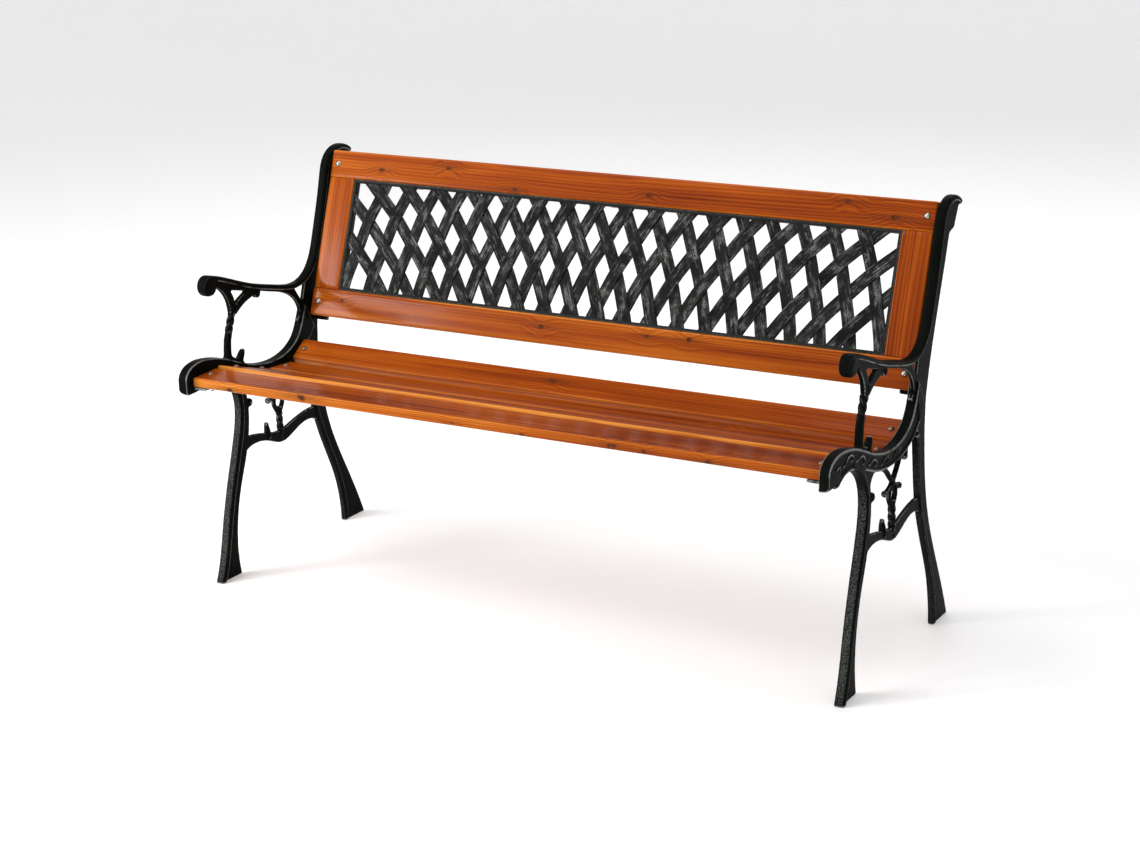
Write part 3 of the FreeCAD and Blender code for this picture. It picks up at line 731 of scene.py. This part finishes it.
def rounded_nose(mesh):
    """Draw the bottom end of the nose in a little and round its corners off."""
    middle_x = (OUTER_FACE + FRAME_LOW.x) / 2
    half_x = OUTER_FACE - middle_x
    top = side(0, 372, 0).z
    rear = side(-30, 0, 0).y
    nose = [vertex for vertex in mesh.vertices if vertex.co.y < rear and vertex.co.z < top]
    low = min(vertex.co.z for vertex in nose)
    front = min(vertex.co.y for vertex in nose)
    for vertex in nose:
        near = (top - vertex.co.z) / (top - low)
        off_x = min(1.0, abs(vertex.co.x - middle_x) / half_x)
        off_y = max(0.0, 1.0 - (vertex.co.y - front) / (7.0 * MM))
        vertex.co.x = middle_x + (vertex.co.x - middle_x) * (1.0 - 0.16 * near * near)
        vertex.co.z += near * (2.6 * MM * off_y * off_y + 2.6 * MM * off_x ** 4)
    mesh.update()


def hammer(mesh, depth, scale):
    """Press a faint foundry unevenness into a mesh."""
    count = len(mesh.vertices)
    points = np.empty(count * 3, np.float32)
    normals = np.empty(count * 3, np.float32)
    mesh.vertices.foreach_get("co", points)
    mesh.vertices.foreach_get("normal", normals)
    points = points.reshape(-1, 3)
    normals = normals.reshape(-1, 3)
    heights = np.array([noise.noise(Vector(point) * scale) for point in points], np.float32)
    points += normals * (heights * depth)[:, None]
    points = np.clip(points, np.array(FRAME_LOW), np.array(FRAME_HIGH)).astype(np.float32)
    mesh.vertices.foreach_set("co", points.reshape(-1))
    mesh.update()


def mirrored(mesh, name):
    copy = mesh.copy()
    copy.name = name
    copy.transform(Matrix.Diagonal((-1.0, 1.0, 1.0, 1.0)))
    copy.flip_normals()
    copy.update()
    return copy


def make_end_frames():
    """The right end frame's casting, and its mirror image on the left."""
    material = painted_iron("iron_frame", 1.0, (0.235, 0.245, 0.235, 1.0))
    mesh = cast_mesh("end_frame_right_cast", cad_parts["end_frame_right"].data)
    edge_attribute(mesh, 2, 1.7)
    lit_front_attribute(mesh)
    rounded_nose(mesh)
    hammer(mesh, 0.14 * MM, 240.0)
    show("frame_casting_right", mesh, material, ["end_frame_right"])
    other = mirrored(mesh, "end_frame_left_cast")
    show("frame_casting_left", other, material, ["end_frame_left"])


# --- wood ------------------------------------------------------------------------------------------
# node: (facing, long axis or None for up the panel, tone, painted shade to the right end, painted edge highlight,
#        corner radius in millimetres, ring centre across and out, ring spacing, knots)
BOARDS = {
    "seat_slat_1": (UP, ALONG, -0.02, 0.26, 0.42, 3.4, (-0.050, -0.060), 3.4,
                    ((-0.505, -0.031, -0.004, 0.007), (-0.355, -0.031, 0.002, 0.008),
                     (-0.060, -0.031, -0.003, 0.004), (0.070, -0.031, -0.005, 0.004),
                     (0.230, -0.031, -0.001, 0.007), (0.285, -0.031, -0.003, 0.005),
                     (0.395, -0.031, -0.005, 0.008), (0.455, -0.020, 0.010, 0.006))),
    "seat_slat_2": (UP, ALONG, -0.03, 0.12, 0.72, 5.0, (0.080, -0.045), 4.0, ()),
    "seat_slat_3": (UP, ALONG, -0.02, 0.10, 0.45, 4.0, (-0.020, -0.035), 4.4, ()),
    "seat_slat_4": (UP, ALONG, 0.00, 0.12, 0.35, 3.4, (0.010, -0.050), 3.8, ((0.300, 0.006, 0.010, 0.006),)),
    "seat_slat_5": (UP, ALONG, 0.05, 0.12, 0.30, 3.4, (0.060, -0.030), 4.2,
                    ((-0.050, 0.004, 0.010, 0.008),)),
    "back_bottom_rail": (FRONT, ALONG, 0.14, 0.12, 0.30, 3.4, (-0.030, -0.045), 4.0,
                         ((-0.515, 0.006, 0.010, 0.005), (-0.100, 0.004, 0.010, 0.006),
                          (0.105, 0.010, 0.010, 0.006), (0.185, 0.012, 0.010, 0.006))),
    "back_top_rail": (FRONT, ALONG, 0.04, 0.14, 0.30, 3.4, (0.040, -0.050), 3.8,
                      ((-0.470, -0.004, 0.010, 0.006), (-0.330, 0.010, 0.010, 0.006),
                       (-0.190, -0.018, 0.010, 0.006), (0.070, -0.006, 0.010, 0.006),
                       (0.515, -0.008, 0.010, 0.008), (0.430, 0.012, 0.010, 0.006))),
    "back_stile_left": (FRONT, None, 0.14, 0.0, 0.25, 3.4, (0.060, -0.060), 4.6, ()),
    "back_stile_right": (FRONT, None, 0.04, 0.0, 0.25, 3.4, (-0.055, -0.050), 4.6, ()),
}


def make_boards():
    """A planed board in the place of each wooden node."""
    for seed, (node, row) in enumerate(BOARDS.items(), 1):
        facing, along, tone, painted_falloff, painted_edge_highlight, radius, pith, ring, knots = row
        matrix, size = board_frame(node, facing, along)
        mesh = board_mesh(node + "_planed", size, radius * MM, seed * 3.1)
        material = varnished_wood("pine_" + node, seed * 0.73, tone, pith, knots, ring, painted_falloff, painted_edge_highlight)
        show(node + "_board", mesh, material, [node], matrix)


# --- lattice ---------------------------------------------------------------------------------------
# In millimetres, from the middle of the opening between the rails and the stiles.
STRIP_RADIUS = 936.0
STRIP_WIDTH = 22.0
STRIP_THICKNESS = 4.4
STRIP_COUNT = 9
WEAVE = 1.3
RIM_WIDTH = 5.5
RIM_FRONT = 2.0
RIM_DEPTH = 14.0
STRIP_PLANE = -7.0
# The ears that screw the rim to the rails from behind; heights are out of the rails' front face.
EAR_PLACES = (-400.0, 0.0, 400.0)
EAR_WIDTH = 16.0
EAR_REACH = 22.0
EAR_BACK = -23.0
EAR_FRONT = -20.1
EAR_FOOT_FRONT = -12.0


def strip_centre(index):
    """Centre of a falling strip's arc, in millimetres in the opening's plane."""
    middle_x = 19.5 + 52.8 * index - 0.88 * min(index, 0) ** 2
    angle = math.radians(64.8 + 1.7 * index - 0.085 * index ** 2)
    return middle_x - STRIP_RADIUS * math.sin(angle), -STRIP_RADIUS * math.cos(angle)


def crossings(index, half_height):
    """Where the other family's strips cross a falling strip: (angle on its arc, their number)."""
    cx, cy = strip_centre(index)
    first = math.asin(max(-1.0, min(1.0, (-half_height - cy) / STRIP_RADIUS)))
    last = math.asin(max(-1.0, min(1.0, (half_height - cy) / STRIP_RADIUS)))
    found = []
    steps = 80
    for other in range(-STRIP_COUNT - 3, STRIP_COUNT + 4):
        ox, oy = strip_centre(other)
        before = None
        for step in range(steps + 1):
            angle = first + (last - first) * step / steps
            x = cx + STRIP_RADIUS * math.cos(angle)
            y = cy + STRIP_RADIUS * math.sin(angle)
            gap = math.hypot(x + ox, y - oy) - STRIP_RADIUS
            if before is not None and (gap < 0) != (before[1] < 0):
                share = before[1] / (before[1] - gap)
                found.append((before[0] + (angle - before[0]) * share, other))
            before = (angle, gap)
    return sorted(found), first, last


def weave_height(angle, marks):
    """Height of a strip's middle at an angle, easing between its crossings."""
    if angle <= marks[0][0]:
        return marks[0][1]
    for (a, low), (b, high) in zip(marks, marks[1:]):
        if angle <= b:
            share = (angle - a) / (b - a)
            ease = 0.5 - 0.5 * math.cos(math.pi * share)
            return low + (high - low) * ease
    return marks[-1][1]


STRIP_SECTION = ((-1.0, 0.15), (-0.985, 0.72), (-0.93, 1.0), (-0.80, 0.90), (-0.4, 0.84), (0.0, 0.84), (0.4, 0.84),
                 (0.80, 0.90), (0.93, 1.0), (0.985, 0.72), (1.0, 0.15), (0.985, -0.75), (0.92, -1.0),
                 (0.0, -1.0), (-0.92, -1.0), (-0.985, -0.75))


def add_strip(build, grain, index, mirror, half_height):
    """One curved strip that passes over and under the other family's strips."""
    cx, cy = strip_centre(index)
    found, first, last = crossings(index, half_height + 30.0)
    marks = []
    for angle, other in found:
        over = (index + other) % 2 == (0 if mirror > 0 else 1)
        marks.append((angle, WEAVE if over else -WEAVE))
    steps = 64
    rings = []
    for step in range(steps + 1):
        angle = first + (last - first) * step / steps
        height = weave_height(angle, marks)
        ring = []
        for share, level in STRIP_SECTION:
            radius = STRIP_RADIUS + share * STRIP_WIDTH / 2
            x = mirror * (cx + radius * math.cos(angle))
            y = cy + radius * math.sin(angle)
            z = STRIP_PLANE + height + level * STRIP_THICKNESS / 2
            vertex = build.verts.new((x * MM, y * MM, z * MM))
            vertex[grain] = (angle * STRIP_RADIUS * MM + 0.37 * index + (5.0 if mirror < 0 else 0.0),
                             share * STRIP_WIDTH / 2 * MM + 0.11 * index, 0.0)
            ring.append(vertex)
        rings.append(ring)
    for one, two in zip(rings, rings[1:]):
        for place in range(len(one)):
            nxt = (place + 1) % len(one)
            build.faces.new((one[place], one[nxt], two[nxt], two[place]))


def add_block(build, low, high, bevel):
    """A block with bevelled edges, in metres."""
    made = bmesh.ops.create_cube(build, size=1.0)["verts"]
    size = Vector(high) - Vector(low)
    middle = (Vector(high) + Vector(low)) / 2
    for vertex in made:
        vertex.co = Vector((vertex.co.x * size.x, vertex.co.y * size.y, vertex.co.z * size.z)) + middle
    edges = {edge for vertex in made for edge in vertex.link_edges}
    bmesh.ops.bevel(build, geom=list(edges), offset=bevel, segments=2, affect="EDGES", profile=0.6)


def add_rim(build, half_x, half_y):
    """The rim round the strips: one mitred frame with bevelled edges."""
    soft = 0.7
    back = -RIM_FRONT - RIM_DEPTH
    section = ((0.0, -RIM_FRONT - soft), (soft, -RIM_FRONT), (RIM_WIDTH - soft, -RIM_FRONT),
               (RIM_WIDTH, -RIM_FRONT - soft), (RIM_WIDTH, back + soft), (RIM_WIDTH - soft, back),
               (soft, back), (0.0, back + soft))
    corners = ((-1, -1), (1, -1), (1, 1), (-1, 1))
    rings = []
    for sign_x, sign_y in corners:
        ring = []
        for inset, z in section:
            ring.append(build.verts.new((sign_x * (half_x - inset) * MM, sign_y * (half_y - inset) * MM, z * MM)))
        rings.append(ring)
    for index, one in enumerate(rings):
        two = rings[(index + 1) % 4]
        for place in range(len(section)):
            nxt = (place + 1) % len(section)
            build.faces.new((one[place], two[place], two[nxt], one[nxt]))


def make_lattice():
    """The woven strips in their rim, in the plane of the rails' front faces."""
    matrix, rail_size = board_frame("back_bottom_rail", FRONT)
    top_matrix, _ = board_frame("back_top_rail", FRONT)
    up = matrix.col[1].to_3d()
    out = matrix.col[2].to_3d()
    rise = (top_matrix.translation - matrix.translation).dot(up)
    half_y = (rise - rail_size.y) / 2 / MM
    half_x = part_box("back_stile_right")[0].x / MM
    origin = matrix.translation + up * rise / 2 + out * rail_size.z / 2
    place = matrix.copy()
    place.translation = origin
    build = bmesh.new()
    grain = build.verts.layers.float_vector.new("grain")
    for mirror in (1, -1):
        for index in range(-STRIP_COUNT, STRIP_COUNT + 1):
            add_strip(build, grain, index, mirror, half_y)
    inside = RIM_WIDTH / 2
    for normal, reach in (((1, 0, 0), half_x), ((-1, 0, 0), half_x), ((0, 1, 0), half_y), ((0, -1, 0), half_y)):
        cut = Vector(normal) * (reach - inside) * MM
        geometry = list(build.verts) + list(build.edges) + list(build.faces)
        result = bmesh.ops.bisect_plane(build, geom=geometry, plane_co=cut, plane_no=normal, clear_outer=True)
        rims = [item for item in result["geom_cut"] if isinstance(item, bmesh.types.BMEdge)]
        bmesh.ops.holes_fill(build, edges=rims, sides=0)
    add_rim(build, half_x, half_y)
    for x in EAR_PLACES:
        for sign in (-1, 1):
            for reach, front in ((EAR_REACH, EAR_FRONT), (-0.2, EAR_FOOT_FRONT)):
                ends = sorted((sign * (half_y - RIM_WIDTH), sign * (half_y + reach)))
                low = ((x - EAR_WIDTH / 2) * MM, ends[0] * MM, EAR_BACK * MM)
                high = ((x + EAR_WIDTH / 2) * MM, ends[1] * MM, front * MM)
                add_block(build, low, high, 0.6 * MM)
    bmesh.ops.recalc_face_normals(build, faces=build.faces)
    mesh = bpy.data.meshes.new("lattice_woven")
    build.to_mesh(mesh)
    build.free()
    edge_attribute(mesh, 0, 0.6)
    show("lattice_casting", mesh, dry_brushed_iron("iron_lattice"), ["back_lattice"], place)


# --- fasteners and hidden pieces ----------------------------------------------------------------------
def dress(nodes, material):
    """Give CAD nodes that stay as they are their material."""
    for node in nodes:
        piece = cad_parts[node]
        piece.data.materials.clear()
        piece.data.materials.append(material)


def make_fasteners():
    """Plated bolts, nuts, washers and screws, and the hidden dowels."""
    bright = zinc("zinc_bright", (0.80, 0.80, 0.79), 0.20)
    # the seat bolts' brown is a painted reflection of the wood round them
    dull = zinc("zinc_painted_wood_reflection", (0.26, 0.16, 0.10), 0.40)
    grey = zinc("zinc_grey", (0.55, 0.54, 0.52), 0.26)
    dress(["back_rail_washers", "back_rail_nuts", "seat_washers", "seat_nuts", "lattice_screws"], bright)
    dress(["back_rail_bolts"], grey)
    dress(["seat_bolts"], dull)
    dress(["stile_dowels"], varnished_wood("beech_dowels", 9.1, 0.1, (0.0, 0.0)))


make_camera()
make_stage()
make_end_frames()
make_boards()
make_lattice()
make_fasteners()
